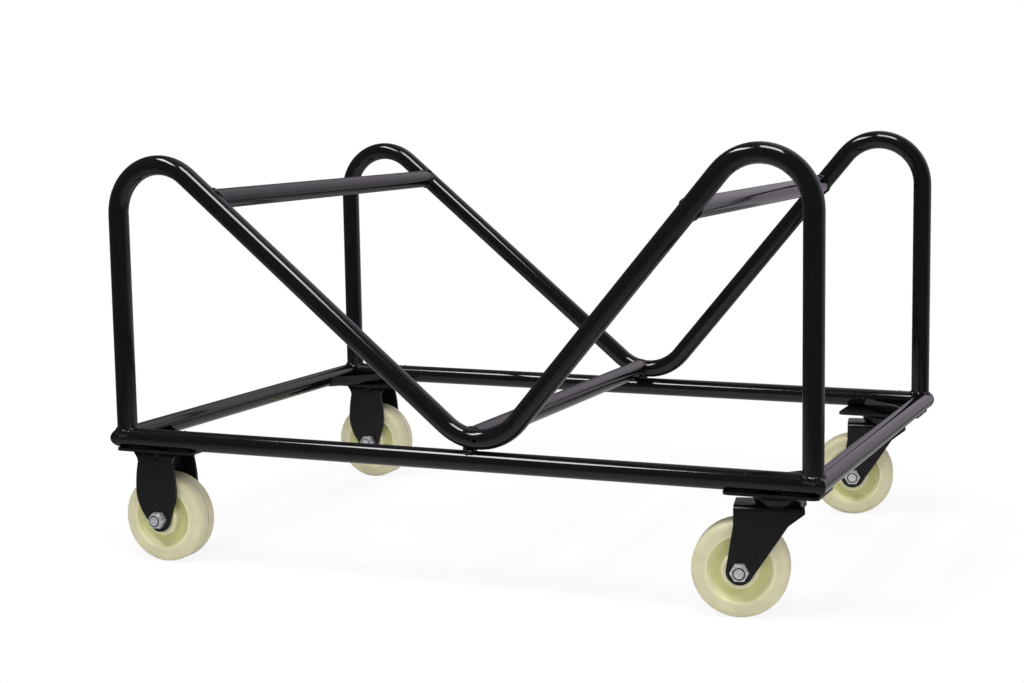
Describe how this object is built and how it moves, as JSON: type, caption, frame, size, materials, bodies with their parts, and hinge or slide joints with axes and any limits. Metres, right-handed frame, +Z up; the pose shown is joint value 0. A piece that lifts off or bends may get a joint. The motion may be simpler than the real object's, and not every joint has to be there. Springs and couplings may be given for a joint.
{
  "type": "stacking chair trolley",
  "caption": "Welded tube trolley for stacked chairs: a rectangular base on castors, with bent cradle tubes that rise at both ends, dip to a valley between and are tied by cross bars.",
  "frame": {"origin": "on the floor, under the middle of the base rectangle", "axes": "+X along the long side towards the swivel castors, +Y to the rear, +Z up"},
  "size_m": [0.83, 0.5427, 0.4771],
  "materials": {
    "powder_coat": "gloss black powder coat",
    "zinc_steel": "bright zinc plate",
    "dark_steel": "oiled bare steel",
    "wheel_nylon": "cream cast nylon, satin",
    "nut_nylon": "dark nylon"
  },
  "bodies": {
    "frame": {"front_rail": "powder_coat", "rear_rail": "powder_coat", "left_rail": "powder_coat", "right_rail": "powder_coat", "front_cradle_tube": "powder_coat", "rear_cradle_tube": "powder_coat", "upper_left_bar": "powder_coat", "upper_right_bar": "powder_coat", "lower_bar": "powder_coat", "valley_welds": "powder_coat", "front_left_gusset": "powder_coat", "rear_left_gusset": "powder_coat", "front_right_gusset": "powder_coat", "rear_right_gusset": "powder_coat", "front_left_plate": "powder_coat", "rear_left_plate": "powder_coat", "front_right_plate": "powder_coat", "rear_right_plate": "powder_coat", "front_left_fork": "powder_coat", "rear_left_fork": "powder_coat", "front_upper_race": "powder_coat", "rear_upper_race": "powder_coat", "front_kingpin": "dark_steel", "rear_kingpin": "dark_steel", "front_thrust_washer": "zinc_steel", "rear_thrust_washer": "zinc_steel", "front_left_axle_bolt": "zinc_steel", "rear_left_axle_bolt": "zinc_steel", "front_left_sleeve": "dark_steel", "rear_left_sleeve": "dark_steel", "front_left_lock_nut": "zinc_steel", "rear_left_lock_nut": "zinc_steel", "front_left_nylon_ring": "nut_nylon", "rear_left_nylon_ring": "nut_nylon"},
    "front_left_wheel": {"front_left_wheel": "wheel_nylon"},
    "rear_left_wheel": {"rear_left_wheel": "wheel_nylon"},
    "front_swivel": {"front_right_fork": "powder_coat", "front_ball_ring": "zinc_steel", "front_right_axle_bolt": "zinc_steel", "front_right_sleeve": "dark_steel", "front_right_lock_nut": "zinc_steel", "front_right_nylon_ring": "nut_nylon"},
    "rear_swivel": {"rear_right_fork": "powder_coat", "rear_ball_ring": "zinc_steel", "rear_right_axle_bolt": "zinc_steel", "rear_right_sleeve": "dark_steel", "rear_right_lock_nut": "zinc_steel", "rear_right_nylon_ring": "nut_nylon"},
    "front_right_wheel": {"front_right_wheel": "wheel_nylon"},
    "rear_right_wheel": {"rear_right_wheel": "wheel_nylon"}
  },
  "joints": [
    {"name": "front_left_wheel_spin", "type": "hinge", "parent": "frame", "child": "front_left_wheel", "pos_m": [-0.3595, -0.2385, 0.05], "axis": [0, 1, 0], "continuous": true},
    {"name": "rear_left_wheel_spin", "type": "hinge", "parent": "frame", "child": "rear_left_wheel", "pos_m": [-0.3595, 0.2385, 0.05], "axis": [0, 1, 0], "continuous": true},
    {"name": "front_castor_swivel", "type": "hinge", "parent": "frame", "child": "front_swivel", "pos_m": [0.358, -0.235, 0.117], "axis": [0, 0, 1], "continuous": true},
    {"name": "rear_castor_swivel", "type": "hinge", "parent": "frame", "child": "rear_swivel", "pos_m": [0.358, 0.235, 0.117], "axis": [0, 0, 1], "continuous": true},
    {"name": "front_right_wheel_spin", "type": "hinge", "parent": "front_swivel", "child": "front_right_wheel", "pos_m": [0.32195, -0.24332, 0.05], "axis": [-0.225, 0.9744, 0], "continuous": true},
    {"name": "rear_right_wheel_spin", "type": "hinge", "parent": "rear_swivel", "child": "rear_right_wheel", "pos_m": [0.32181, 0.22731, 0.05], "axis": [-0.2079, 0.9781, 0], "continuous": true}
  ]
}
